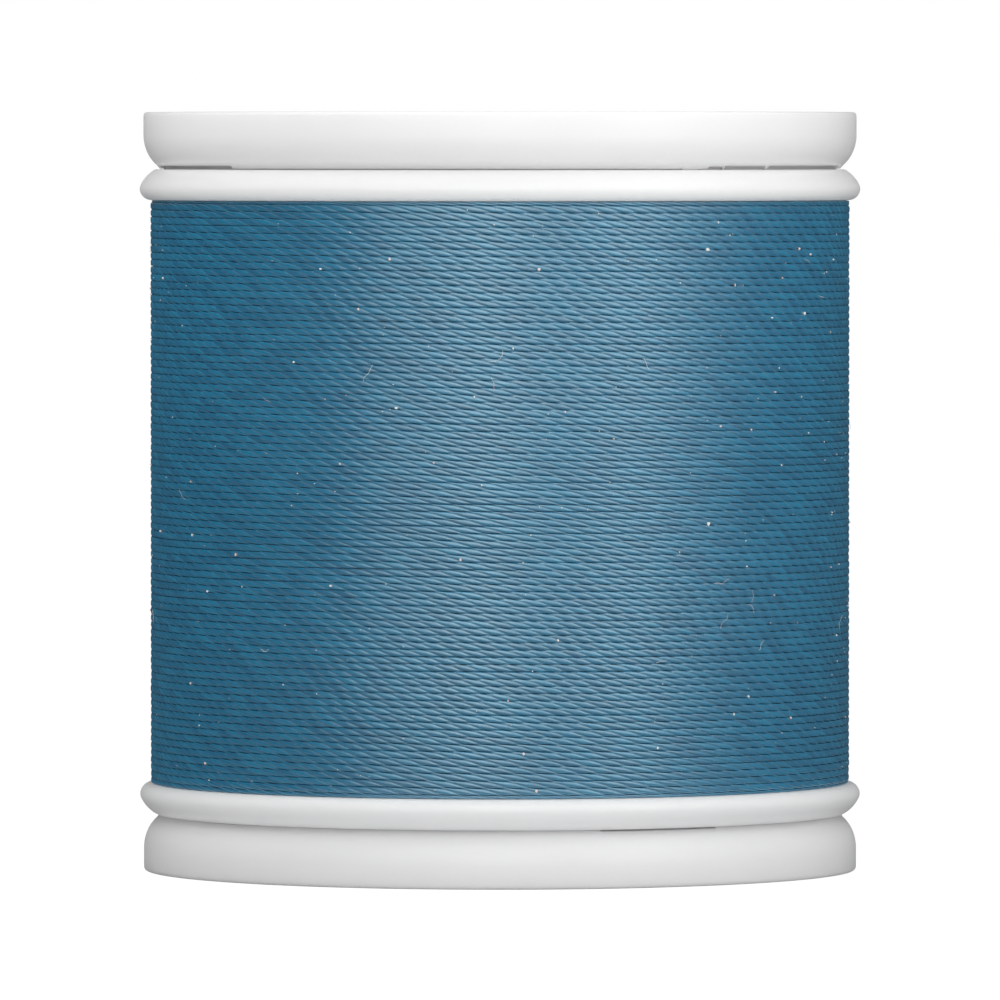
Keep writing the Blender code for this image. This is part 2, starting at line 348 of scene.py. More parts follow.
def noise(tree, vector, scale, detail=2.0, roughness=0.5, kind="3D"):
    """A Noise Texture node on a vector, and its value socket."""
    node = tree.nodes.new("ShaderNodeTexNoise")
    node.noise_dimensions = kind
    node.inputs["Scale"].default_value = scale
    node.inputs["Detail"].default_value = detail
    node.inputs["Roughness"].default_value = roughness
    tree.links.new(vector, node.inputs["Vector"])
    return node.outputs["Fac"]


# Moulded skin: the faint cloudiness of the plastic, the fine texture of the mould and
# a few hairline scuffs from handling. It serves the barrel and both caps.
skin, skin_in, skin_out = node_group(
    "moulded_skin",
    [("Cloud", "NodeSocketFloat", 0.03), ("Scuffs", "NodeSocketFloat", 0.5)],
    [("Tone", "NodeSocketFloat"), ("Roughness", "NodeSocketFloat"),
     ("Height", "NodeSocketFloat")])
CLOUD_SCALE = 160.0
GRAIN_SCALE = 9000.0
SCUFF_SCALE = 700.0
PATCH_SCALE = 110.0
place = skin.nodes.new("ShaderNodeTexCoord").outputs["Object"]
cloud = noise(skin, place, CLOUD_SCALE, 3.0)
grain = noise(skin, place, GRAIN_SCALE, 1.0)
streak_place = skin.nodes.new("ShaderNodeMapping")
streak_place.inputs["Scale"].default_value = (1.0, 1.0, 9.0)
streak_place.inputs["Rotation"].default_value = (0.25, 0.1, 0.0)
skin.links.new(place, streak_place.inputs["Vector"])
hairlines = spread(skin, noise(skin, streak_place.outputs[0], SCUFF_SCALE, 4.0, 0.75),
                   0.66, 0.74, 0.0, 1.0)
patches = spread(skin, noise(skin, place, PATCH_SCALE, 2.0), 0.5, 0.62, 0.0, 1.0)
scuffed = sum_up(skin, "MULTIPLY",
                 sum_up(skin, "MULTIPLY", hairlines, patches), skin_in.outputs["Scuffs"])
tone = sum_up(skin, "MULTIPLY_ADD",
              sum_up(skin, "SUBTRACT", cloud, 0.5), skin_in.outputs["Cloud"], 1.0)
tone = sum_up(skin, "SUBTRACT", tone, sum_up(skin, "MULTIPLY", scuffed, 0.05))
skin.links.new(tone, skin_out.inputs["Tone"])
rough = sum_up(skin, "MULTIPLY_ADD", cloud, 0.08, 0.27)
rough = sum_up(skin, "MULTIPLY_ADD", scuffed, 0.18, rough)
skin.links.new(rough, skin_out.inputs["Roughness"])
height = sum_up(skin, "MULTIPLY_ADD", grain, 0.35, sum_up(skin, "MULTIPLY", cloud, 1.2))
height = sum_up(skin, "SUBTRACT", height, sum_up(skin, "MULTIPLY", scuffed, 0.8))
skin.links.new(height, skin_out.inputs["Height"])


def white_plastic(name, colour, cloudiness, scuffs):
    """Moulded white plastic: a glossy skin that lets a little light in."""
    material, tree, output = new_material(name)
    shader = tree.nodes.new("ShaderNodeBsdfPrincipled")
    tree.links.new(shader.outputs[0], output.inputs["Surface"])
    surface = tree.nodes.new("ShaderNodeGroup")
    surface.node_tree = skin
    surface.inputs["Cloud"].default_value = cloudiness
    surface.inputs["Scuffs"].default_value = scuffs
    tint = tree.nodes.new("ShaderNodeMix")
    tint.data_type = "RGBA"
    tint.blend_type = "MULTIPLY"
    tint.inputs["Factor"].default_value = 1.0
    tint.inputs["A"].default_value = (*colour, 1.0)
    tree.links.new(surface.outputs["Tone"], tint.inputs["B"])
    tree.links.new(tint.outputs["Result"], shader.inputs["Base Color"])
    tree.links.new(surface.outputs["Roughness"], shader.inputs["Roughness"])
    bump = tree.nodes.new("ShaderNodeBump")
    bump.inputs["Strength"].default_value = 0.25
    bump.inputs["Distance"].default_value = 0.00003
    tree.links.new(surface.outputs["Height"], bump.inputs["Height"])
    tree.links.new(bump.outputs[0], shader.inputs["Normal"])
    shader.inputs["IOR"].default_value = 1.49
    shader.inputs["Subsurface Weight"].default_value = 0.5
    shader.inputs["Subsurface Radius"].default_value = (1.0, 0.97, 0.94)
    shader.inputs["Subsurface Scale"].default_value = 0.002
    return material


def from_top(section):
    """The same section measured down from the top of the spool, in reverse order."""
    return np.stack([section[::-1, 0], HEIGHT - section[::-1, 1]], axis=1)


# The lower half's section, in millimetres. The bead is a quarter round above its nose, and
# below it the outline falls in to the seam by UNDERCUT (1 - (1 - (d/1.08)^1.5)^(1/1.5)),
# where d is the distance below the nose. The rebate takes the lip of the cap, so that no
# light shows through the seam, and the store holds the loose end of the thread.
CORE_RADIUS = 16.5
FLANGE_FACE = 4.68
BEAD_RADIUS = 19.2
BEAD_ROUND = 0.62
BEAD_NOSE = FLANGE_FACE - BEAD_ROUND
UNDERCUT = 1.05
SEAM_FACE = 3.045
REBATE_RADIUS = 18.10
REBATE_FLOOR = 3.115
STORE_OUTSIDE = 17.6
STORE_INSIDE = 16.2
STORE_FLOOR = 3.725
BORE_RADIUS = 15.3
STOP_LIP_RADIUS = 14.9
RIB_RADIUS = 14.5
RIB_HALF_WIDTH = 0.6
RIB_START = 5.3
HAIR = 0.0001
NICK_FLOOR = 3.675
NICK_HALF_WIDTH = 0.5
NICK_ANGLE = math.radians(66.5)
KEY_ANGLES = np.radians([45, 135, 225, 315])
quarter = np.linspace(0, math.pi / 2, 11)
bead = [(BEAD_RADIUS - BEAD_ROUND + BEAD_ROUND * math.sin(t),
         BEAD_NOSE + BEAD_ROUND * math.cos(t), 0) for t in quarter]
drop = np.unique(np.append(np.linspace(0, BEAD_NOSE - SEAM_FACE, 14), BEAD_NOSE - NICK_FLOOR))
fall = 1 - (1 - (drop / 1.08)**1.5)**(1 / 1.5)
bead += [(BEAD_RADIUS - UNDERCUT * f, BEAD_NOSE - d, 0) for f, d in zip(fall[1:], drop[1:])]
lower_half = rounded([
    (CORE_RADIUS, FLANGE_FACE, 0.12), *bead,
    (REBATE_RADIUS, SEAM_FACE, 0.03), (REBATE_RADIUS, REBATE_FLOOR, 0.02),
    (STORE_OUTSIDE, REBATE_FLOOR, 0.06), (STORE_OUTSIDE, STORE_FLOOR, 0.12),
    (STORE_INSIDE, STORE_FLOOR, 0.12), (STORE_INSIDE, SEAM_FACE, 0.06),
    (BORE_RADIUS, SEAM_FACE, 0.08), (BORE_RADIUS, 4.2, 0), (STOP_LIP_RADIUS, 4.6, 0.06),
    (STOP_LIP_RADIUS, 5.0, 0.06), (BORE_RADIUS, 5.2, 0), (BORE_RADIUS, RIB_START, 0),
    (BORE_RADIUS, RIB_START + HAIR, 0), (BORE_RADIUS, HEIGHT / 2, 0),
    (CORE_RADIUS, HEIGHT / 2, 0)])[:-1]
barrel_section = np.vstack([lower_half, from_top(lower_half[:-1])])
ribbed = barrel_section.copy()
past_start = np.minimum(ribbed[:, 1], HEIGHT - ribbed[:, 1]) > RIB_START + HAIR / 2
ribbed[past_start & (ribbed[:, 0] < BORE_RADIUS + HAIR), 0] = RIB_RADIUS
nicked = barrel_section.copy()
outer_face = nicked[:, 0] > STORE_OUTSIDE - 0.1  # with the start of the store's fillet
nicked[outer_face, 1] = np.clip(nicked[outer_face, 1], NICK_FLOOR, HEIGHT - NICK_FLOOR)
barrel_plastic = white_plastic("barrel_plastic", (0.90, 0.90, 0.895), 0.02, 0.5)
barrel = turned(
    "moulded_barrel", barrel_section,
    [(angle, math.asin(RIB_HALF_WIDTH / 14.9), ribbed) for angle in KEY_ANGLES]
    + [(NICK_ANGLE, math.asin(NICK_HALF_WIDTH / 18.4), nicked)], barrel_plastic)
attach(barrel, "spool_body")
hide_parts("barrel")


# ---------------------------------------------------------------- caps
# Two equal mouldings of white plastic. Each is a thick disc with a round shoulder, a
# hub round the pin hole, and a sleeve cut into four snap fingers that hold it in the
# barrel's bore. The outer face has a shallow recess for the paper label.

# The section of the lower cap, in millimetres, from the pin hole over the sleeve to the
# shoulder, which curves in to R - s + sqrt(s^2 - (0.853 (h - start))^2) at height h.
CAP_RADIUS = 19.0
SHOULDER = 1.7
SHOULDER_START = 1.2
CAP_EDGE = 2.93
LIP_TOP = 3.075
PIN_HOLE = 4.0
HUB_RADIUS = 5.2
HUB_END = 7.0
SLEEVE_INSIDE = 13.5
SLEEVE_OUTSIDE = 14.6
SLEEVE_END = 9.6
BARB_RADIUS = 15.1
BARB_FACE = 8.3
SLOT_START = 4.5
SLOT_HALF_WIDTH = 1.2
rise = np.linspace(CAP_EDGE, SHOULDER_START, 16)[1:]
inward = SHOULDER - np.sqrt(SHOULDER**2 - (0.853 * (rise - SHOULDER_START))**2)
shoulder = [(CAP_RADIUS - i, h, 0) for i, h in zip(inward, rise)]
cap_section = rounded([
    (PIN_HOLE, 0, 0.3), (PIN_HOLE, HUB_END, 0.15), (HUB_RADIUS, HUB_END, 0.2),
    (HUB_RADIUS, 1.7, 0.35), (SLEEVE_INSIDE, 1.7, 0.35), (SLEEVE_INSIDE, SLOT_START, 0),
    (SLEEVE_INSIDE, SLEEVE_END, 0.1), (14.3, SLEEVE_END, 0.1), (BARB_RADIUS, 8.9, 0.1),
    (BARB_RADIUS, BARB_FACE, 0.06), (SLEEVE_OUTSIDE, BARB_FACE, 0.04),
    (SLEEVE_OUTSIDE, SLOT_START, 0), (SLEEVE_OUTSIDE, 2.675, 0.15),
    (17.70, 2.675, 0.04), (17.70, LIP_TOP, 0.04), (17.90, LIP_TOP, 0.03),
    (17.90, CAP_EDGE, 0.0), (18.125, CAP_EDGE, 0.02), *shoulder, (CAP_RADIUS, 0, 0.22),
    (16.4, 0, 0.1), (16.4, 0.5, 0.08), (6.2, 0.5, 0.08), (6.2, 0, 0.1)])


def with_edge(height):
    """The cap's section with the edge beside the bead at another height."""
    section = cap_section.copy()
    section[np.abs(section[:, 1] - CAP_EDGE) < 0.03, 1] = height
    return section


# The caps' white is the barrel's plastic made a little darker: painted shade, so that the strongly
# lit caps don't burn out to white.
cap_plastic = white_plastic("cap_plastic", (0.86, 0.86, 0.86), 0.02, 0.6)
# The seam is finer on the lower cap. The edges aren't quite even: the upper cap's is short
# on both sides and has a nib of flash, and the lower cap's is short over one stretch.
# Each stretch is (middle and half width in degrees right of the front, height), and the
# two heights before the stretches are the edge's own and that over the front right slot.
edges = {"lower": (3.033, 3.033, [(27.5, 10.8, 2.955)]),
         "upper": (3.005, 2.865, [(-67.5, 17.0, 2.85), (33.1, 1.5, 3.035), (38.3, 1.6, 2.90),
                                  (66.0, 15.5, 2.85)])}
for end, (edge_height, right_height, stretches) in edges.items():
    section = with_edge(edge_height)
    changes = []
    for angle, height in zip(KEY_ANGLES, (edge_height, edge_height, edge_height, right_height)):
        # the wall of a slot is drawn in two steps, the barb first, so that it never folds
        barbless = with_edge(height)
        in_sleeve = (barbless[:, 0] > SLEEVE_INSIDE - 0.1) & (barbless[:, 1] > SLOT_START)
        barbless[in_sleeve, 0] = np.clip(barbless[in_sleeve, 0], SLEEVE_INSIDE, SLEEVE_OUTSIDE)
        slotted = barbless.copy()
        slotted[in_sleeve, 1] = SLOT_START
        half_angle = math.asin(SLOT_HALF_WIDTH * 2 / (SLEEVE_INSIDE + SLEEVE_OUTSIDE))
        changes.append((angle, half_angle, barbless, slotted))
    changes += [(math.radians(middle - 90), math.radians(half), with_edge(height))
                for middle, half, height in stretches]
    if end == "upper":
        section = from_top(section)
        changes = [(middle, half, *map(from_top, steps)) for middle, half, *steps in changes]
    cap = turned(f"{end}_snap_cap", section, changes, cap_plastic)
    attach(cap, f"{end}_cap_body")
    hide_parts(f"{end}_cap")


# ---------------------------------------------------------------- end labels
# A blank ring of white paper in the recess of each cap's outer face, with two plain
# printed circles in the colour of the thread.

LABEL_INSIDE = 6.4
LABEL_OUTSIDE = 16.2
OUTER_CIRCLE = 15.0
OUTER_HALF_WIDTH = 0.35
INNER_CIRCLE = 7.6
INNER_HALF_WIDTH = 0.15
label_section = rounded([
    (LABEL_INSIDE, 0.15, 0.03), (LABEL_INSIDE, 0.30, 0.03),
    (LABEL_OUTSIDE, 0.30, 0.03), (LABEL_OUTSIDE, 0.15, 0.03)], 3)
label_paper, tree, output = new_material("label_paper")
shader = tree.nodes.new("ShaderNodeBsdfPrincipled")
tree.links.new(shader.outputs[0], output.inputs["Surface"])
place = tree.nodes.new("ShaderNodeTexCoord").outputs["Object"]
flat = tree.nodes.new("ShaderNodeVectorMath")
flat.operation = "MULTIPLY"
flat.inputs[1].default_value = (1000.0, 1000.0, 0.0)
tree.links.new(place, flat.inputs[0])
reach = tree.nodes.new("ShaderNodeVectorMath")
reach.operation = "LENGTH"
tree.links.new(flat.outputs[0], reach.inputs[0])
# the printed lines' edges waver by a few hundredths of a millimetre
print_edge = sum_up(tree, "MULTIPLY_ADD", noise(tree, place, 4000.0, 2.0), 0.05, -0.025)
radius = sum_up(tree, "ADD", reach.outputs["Value"], print_edge)
outer_line = sum_up(tree, "COMPARE", radius, OUTER_CIRCLE, OUTER_HALF_WIDTH)
inner_line = sum_up(tree, "COMPARE", radius, INNER_CIRCLE, INNER_HALF_WIDTH)
ink = sum_up(tree, "MAXIMUM", outer_line, inner_line)
fibres = noise(tree, place, 2500.0, 5.0, 0.7)
paper_tone = tree.nodes.new("ShaderNodeValToRGB")
paper_tone.color_ramp.elements[0].color = (0.74, 0.735, 0.71, 1.0)
paper_tone.color_ramp.elements[1].color = (0.86, 0.858, 0.84, 1.0)
paper_tone.color_ramp.elements[0].position = 0.25
tree.links.new(fibres, paper_tone.inputs["Fac"])
printed = tree.nodes.new("ShaderNodeMix")
printed.data_type = "RGBA"
printed.inputs["B"].default_value = (0.03, 0.13, 0.21, 1.0)
tree.links.new(sum_up(tree, "MULTIPLY", ink, 0.92), printed.inputs["Factor"])
tree.links.new(paper_tone.outputs["Color"], printed.inputs["A"])
tree.links.new(printed.outputs["Result"], shader.inputs["Base Color"])
tree.links.new(spread(tree, fibres, 0.3, 0.7, 0.72, 0.88), shader.inputs["Roughness"])
bump = tree.nodes.new("ShaderNodeBump")
bump.inputs["Strength"].default_value = 0.4
bump.inputs["Distance"].default_value = 0.00003
tree.links.new(fibres, bump.inputs["Height"])
tree.links.new(bump.outputs[0], shader.inputs["Normal"])
for end in ("lower", "upper"):
    shape = label_section if end == "lower" else from_top(label_section)
    label = turned(f"{end}_paper_label", shape, [], label_paper)
    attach(label, f"{end}_cap_body")
    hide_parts(f"{end}_label")


# ---------------------------------------------------------------- wound thread
# One length of lustrous three-ply thread, wound turn beside turn between the flanges.
# Each turn leans a little down to the right, and its plies show as slanting lozenges
# with dark dashes between the turns, deepened by painted shade in the creases and in the
# grooves between plies. It is cut into bands only to keep each mesh small.

WOUND_RADIUS = 18.63
INNER_RADIUS = 16.62
ROW_DROP = 0.056
PLY_DROP = 0.042
CREASE_DROP = 0.115
TURNS = 83
MARKS = 118.42
COLUMNS = 1200
TWIST_START = math.radians(90)
WINDING_LOW = FLANGE_FACE + 0.012
WINDING_HIGH = HEIGHT - FLANGE_FACE - 0.012
TURN_PITCH = (WINDING_HIGH - WINDING_LOW) / (TURNS - 1)
PLY_TURN = math.radians(120)
CREASE_ANGLE = PLY_TURN / 2 * MARKS / (TURNS - 1)
ACROSS = np.concatenate([
    [-CREASE_ANGLE], np.radians([-54, -32, -11, 11, 32, 54]), [CREASE_ANGLE]])
SHUT = 0.29
STEPS = len(ACROSS) - 1
BANDS = 8


def smooth_random(x, seed, slowest, fastest, count):
    """A smooth random curve of x, about -1 to 1: a sum of sines of even strength."""
    rng = np.random.default_rng(seed)
    rates = rng.uniform(slowest, fastest, count)
    starts = rng.uniform(0, math.tau, count)
    total = np.zeros_like(x)
    for rate, start in zip(rates, starts):
        total += np.sin(math.tau * rate * x + start)
    return total / math.sqrt(count / 2) / 1.7


def ply_count(turns):
    """How many plies have passed after so many turns: even, but for a slow wander."""
    return (MARKS * turns + 1.7 * np.sin(math.tau * 1.021 * turns + 0.6)
            + 0.35 * np.sin(math.tau * 2.034 * turns + 2.0)
            + 0.12 * smooth_random(turns, 5, 0.3, 7.0, 12))


def turn_edge(turns):
    """The height of the crease above a place on the thread: a straight climb that
    stops at each flange, with a slight slope left so that no face is quite flat."""
    climb = 0.98 * np.clip(turns, 0, TURNS - 1) + 0.02 * turns * (TURNS - 1) / TURNS
    return WINDING_LOW + TURN_PITCH * climb


def wound_point(turns, across):
    """The angle, radius and height of points on the thread's outside, in millimetres,
    and the strength of the painted shade there, from 0 to 1: none off the creases, SHUT
    in a shut crease, and more as the crease gapes.

    turns is the place along the thread and across is the angle b round it, 0 facing
    outwards. A turn's height runs over sin b between the creases on its two sides. The
    surface drops by D (1 - cos b) below the crown, and by P |2f - 1|^3 towards the
    groove between two plies, where f is the fraction of b/120 deg - ply_count. A crease
    is hollow where a groove of the turn below or above comes near it, and else shut.
    """
    bottom = turn_edge(turns - 1)
    top = turn_edge(turns)
    edge = np.abs(across) > math.radians(80)
    depth = np.abs(2 * ((across / PLY_TURN - ply_count(turns)) % 1.0) - 1)
    beyond = (-across / PLY_TURN - ply_count(turns + np.sign(across))) % 1.0
    depth_beyond = np.abs(2 * beyond - 1)
    gape_and_shade = 1 - (1 - depth**1.6) * (1 - depth_beyond**1.6)
    gape_and_shade = np.clip((gape_and_shade - 0.42) / 0.46, 0, 1)
    gape_and_shade = np.where(edge, gape_and_shade * gape_and_shade * (3 - 2 * gape_and_shade), 0)
    groove = depth**3
    uneven = 0.06 * smooth_random(turns * 3, 17, 1.0, 40.0, 16)
    share = np.where(edge, np.sign(across), (1 - 0.08 * groove + uneven / 3) * np.sin(across))
    middle, half = (bottom + top) / 2, (top - bottom) / 2
    height = middle + half * share
    wander = 0.012 * smooth_random(turns, 11, 0.4, 9.0, 14)
    height += np.where(edge, 0, wander * half / TURN_PITCH * np.cos(across))
    thick = np.clip((top - bottom) / TURN_PITCH, 0, 1)**0.3
    drop = ROW_DROP * (1 - np.cos(across))
    drop += np.where(edge, CREASE_DROP * gape_and_shade, PLY_DROP * groove)
    deepest = ROW_DROP + CREASE_DROP
    drop = deepest + (drop - deepest) * thick
    drop += 0.010 * smooth_random(turns, 23, 0.2, 5.0, 12)
    angle = TWIST_START - math.tau * turns
    # painted shade: how much a crease's colour is darkened, some even where it is shut
    hollow = np.where(edge, SHUT + (1 - SHUT) * gape_and_shade * thick**2, 0)
    return angle, WOUND_RADIUS - drop, height, hollow


lattice_turn = 1 + 1 / (TURNS - 1)
first = CREASE_ANGLE / PLY_TURN
rows = np.arange(TURNS * STEPS + 1)
row_across = ACROSS[rows % STEPS]
row_turns = (first + row_across / PLY_TURN) / MARKS + (rows // STEPS) * lattice_turn
column_turns = np.arange(COLUMNS) / COLUMNS * lattice_turn
turns = row_turns[:, None] + column_turns[None]
across = np.broadcast_to(row_across[:, None], turns.shape)
angle, radius, height, gape_and_shade = wound_point(turns, across)
wound = np.stack([radius * np.cos(angle), radius * np.sin(angle), height], axis=2) * MM

thread_material, tree, output = new_material("lustrous_thread")
shader = tree.nodes.new("ShaderNodeBsdfPrincipled")
tree.links.new(shader.outputs[0], output.inputs["Surface"])
# The map's first coordinate counts the plies passed along the thread, and the second goes
# round the thread in steps of a ply, so their difference is the ply and the place in it.
FIBRES_ACROSS = 4.5
FIBRES_ALONG = 1.7
map_node = tree.nodes.new("ShaderNodeUVMap")
map_node.uv_map = "thread"
parts = tree.nodes.new("ShaderNodeSeparateXYZ")
tree.links.new(map_node.outputs[0], parts.inputs[0])
along, round_it = parts.outputs[0], parts.outputs[1]
ply = sum_up(tree, "SUBTRACT", round_it, along)
centred = sum_up(tree, "ABSOLUTE", sum_up(
    tree, "MULTIPLY_ADD", sum_up(tree, "FRACT", ply, None), 2.0, -1.0), None)
groove = spread(tree, centred, 0.78, 1.0, 0.0, 1.0)
crease = tree.nodes.new("ShaderNodeAttribute")
crease.attribute_name = "gape_and_shade"
crease = spread(tree, crease.outputs["Fac"], 0.12, 0.75, 0.0, 1.0)
lay = tree.nodes.new("ShaderNodeCombineXYZ")
tree.links.new(sum_up(tree, "MULTIPLY", ply, FIBRES_ACROSS), lay.inputs[0])
tree.links.new(sum_up(tree, "MULTIPLY", along, FIBRES_ALONG), lay.inputs[1])
filaments = noise(tree, lay.outputs[0], 1.0, 3.0, 0.6)
shade = noise(tree, lay.outputs[0], 0.23, 2.0)
luck = tree.nodes.new("ShaderNodeTexWhiteNoise")
luck.noise_dimensions = "1D"
tree.links.new(sum_up(tree, "FLOOR", ply, None), luck.inputs["W"])
# fine fibres, slow changes of tone, and a tone of each ply's own, one over another
mixture = sum_up(tree, "MULTIPLY_ADD", filaments, 0.5,
                 sum_up(tree, "MULTIPLY_ADD", shade, 0.3,
                        sum_up(tree, "MULTIPLY", luck.outputs["Value"], 0.2)))
colour = tree.nodes.new("ShaderNodeValToRGB")
colour.color_ramp.elements[0].position = 0.30
colour.color_ramp.elements[0].color = (0.003, 0.124, 0.262, 1.0)
colour.color_ramp.elements[1].position = 0.70
colour.color_ramp.elements[1].color = (0.006, 0.236, 0.426, 1.0)
tree.links.new(mixture, colour.inputs["Fac"])
# painted shade: the colour is darkened a little in the grooves between plies and much more in the
# creases between turns, where shade falls
painted_shade = sum_up(tree, "MULTIPLY",
              sum_up(tree, "MULTIPLY_ADD", groove, -0.27, 1.0),
              sum_up(tree, "MULTIPLY_ADD", crease, -0.88, 1.0))
painted_shade_mix = tree.nodes.new("ShaderNodeMix")
painted_shade_mix.data_type = "RGBA"
painted_shade_mix.blend_type = "MULTIPLY"
painted_shade_mix.inputs["Factor"].default_value = 1.0
tree.links.new(colour.outputs["Color"], painted_shade_mix.inputs["A"])
tree.links.new(painted_shade, painted_shade_mix.inputs["B"])
tree.links.new(painted_shade_mix.outputs["Result"], shader.inputs["Base Color"])
hollow = sum_up(tree, "MAXIMUM", groove, crease)
gloss = spread(tree, filaments, 0.3, 0.7, 0.36, 0.27)
tree.links.new(sum_up(tree, "MULTIPLY_ADD", hollow, 0.45, gloss), shader.inputs["Roughness"])
bump = tree.nodes.new("ShaderNodeBump")
bump.inputs["Strength"].default_value = 0.5
bump.inputs["Distance"].default_value = 0.000017
relief = sum_up(tree, "MULTIPLY_ADD", groove, -0.7, filaments)
tree.links.new(relief, bump.inputs["Height"])
tree.links.new(bump.outputs[0], shader.inputs["Normal"])
shader.inputs["IOR"].default_value = 2.1
shader.inputs["Specular Tint"].default_value = (0.85, 1.0, 1.0, 1.0)
shader.inputs["Specular IOR Level"].default_value = 1.0


def thread_mesh(name, points, gape_and_shade, triangles, uv):
    """A piece of thread from triangles, with (plies passed, across/120 deg) as its UV."""
    used, inverse = np.unique(triangles, return_inverse=True)
    thing = link_mesh(name, points[used], inverse.reshape(-1, 3), thread_material)
    # each point keeps the strength of the painted shade in the creases
    crease_shade_layer = thing.data.attributes.new("gape_and_shade", "FLOAT", "POINT")
    crease_shade_layer.data.foreach_set("value", gape_and_shade[used].astype(np.float32))
    layer = thing.data.uv_layers.new(name="thread")
    layer.data.foreach_set("uv", uv.astype(np.float32).ravel())
    thing.data.set_sharp_from_angle(angle=math.radians(75))
    return thing


def fan(hub, rim):
    """Triangles from one point to each step along a line of points."""
    return np.stack([np.full(len(rim) - 1, hub), rim[:-1], rim[1:]], axis=1)


# The grid's last column is the first one a turn further on, so the number of a point
# there is that of the first column, STEPS rows later.
numbers = np.arange(len(rows))[:, None] * COLUMNS + np.arange(COLUMNS + 1)[None]
numbers[:-STEPS, COLUMNS] = numbers[STEPS:, 0]
flat_points = wound.reshape(-1, 3)
band_rows = np.round(np.linspace(0, TURNS - 1, BANDS + 1)).astype(int) * STEPS
for number, (start, stop) in enumerate(zip(band_rows[:-1], band_rows[1:]), 1):
    r, c = np.meshgrid(np.arange(start, stop), np.arange(COLUMNS), indexing="ij")
    corners = np.stack([numbers[r, c], numbers[r, c + 1], numbers[r + 1, c + 1],
                        numbers[r + 1, c]], axis=2).reshape(-1, 4)
    lower_b, step = ACROSS[:-1][r % STEPS], np.diff(ACROSS)[r % STEPS]
    upper_b = lower_b + step
    base_t = row_turns[r] + column_turns[c]
    shift = step / PLY_TURN / MARKS
    across_t = lattice_turn / COLUMNS
    # whole plies are taken off, because a map's coordinates are single precision
    offset = math.floor(ply_count(turns[start]).min())
    uv_corner = [
        (ply_count(base_t) - offset, lower_b / PLY_TURN),
        (ply_count(base_t + across_t) - offset, lower_b / PLY_TURN),
        (ply_count(base_t + across_t + shift) - offset, upper_b / PLY_TURN),
        (ply_count(base_t + shift) - offset, upper_b / PLY_TURN),
    ]
    uv_corner = np.stack(
        [np.stack(pair, axis=2) for pair in uv_corner], axis=2).reshape(-1, 4, 2)
    outside = np.concatenate([corners[:, [0, 2, 1]], corners[:, [0, 3, 2]]])
    outside_uv = np.concatenate([uv_corner[:, [0, 2, 1]], uv_corner[:, [0, 3, 2]]])

    # the cut faces at both ends of the band, and its inner wall
    loops, walls = [], []
    for row in (start, stop):
        loops.append(np.concatenate(
            [numbers[row, :-1], numbers[row:row + STEPS + 1, 0][::-1][:-1]]))
    extra = len(flat_points)
    inner = []
    for loop in loops:
        ring = flat_points[loop]
        reach = np.linalg.norm(ring[:, :2], axis=1, keepdims=True)
        inner.append(np.hstack([ring[:, :2] / reach * INNER_RADIUS * MM, ring[:, 2:]]))
    count = len(loops[0])
    low_in = extra + np.arange(count)
    high_in = low_in + count
    following = np.roll(np.arange(count), -1)
    for loop, ring, flip in ((loops[0], low_in, False), (loops[1], high_in, True)):
        a, b, d, e = loop, loop[following], ring[following], ring
        quads = np.stack([a, b, d, e] if not flip else [a, e, d, b], axis=1)
        walls += [quads[:, [0, 1, 2]], quads[:, [0, 2, 3]]]
    j = np.arange(1, COLUMNS - 1)
    walls += [np.stack([low_in[j], high_in[j], high_in[j + 1]], axis=1),
              np.stack([low_in[j], high_in[j + 1], low_in[j + 1]], axis=1)]
    # the first and last columns of the inner wall meet along the step in both loops
    low_step = np.append(low_in[COLUMNS:], low_in[0])[::-1]
    high_step = np.append(high_in[COLUMNS:], high_in[0])[::-1]
    left = np.append(low_step, high_step[0])
    right = np.append(low_step[-1], high_step)
    last = COLUMNS - 1
    walls += [fan(high_in[1], left), fan(high_in[1], low_in[[1, 0]]),
              fan(low_in[last], right[::-1]),
              fan(low_in[last], np.array([high_in[last], high_step[-1]]))]
    hidden = np.concatenate(walls)
    triangles = np.concatenate([outside, hidden])
    uv = np.concatenate([outside_uv, np.zeros((len(hidden), 3, 2))])
    points = np.vstack([flat_points, *inner])
    crease_shade_values = np.append(gape_and_shade.ravel(), np.zeros(len(points) - gape_and_shade.size))
    band = thread_mesh(f"thread_band_{number}", points, crease_shade_values, triangles, uv)
    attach(band, "spool_body")
    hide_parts("thread_outer_layer", "thread_inner_layers")


# ---------------------------------------------------------------- loose end
# The last stretch of the same thread, free of the other turns. It leaves the top turn
# at the back, crosses the upper bead, slips in through the nick and lies most of the way
# round the store groove, where the closed cap traps it.

TAIL_RADIUS = 0.195
MARK_LENGTH = math.tau * WOUND_RADIUS / MARKS
OVER_THE_BEAD = [
    (86.2, 18.32, 35.12), (83.0, 18.40, 35.14), (78.0, 18.72, 35.20), (73.5, 19.12, 35.42),
    (70.5, 19.45, 35.80), (68.3, 19.62, 36.35), (67.0, 19.55, 36.80), (66.5, 19.20, 37.05),
    (66.5, 18.60, 37.07), (66.5, 17.95, 37.07), (65.8, 17.35, 37.08), (63.2, 17.00, 37.10)]
IN_THE_STORE = [(angle, 16.9, 37.10) for angle in range(58, -250, -12)]


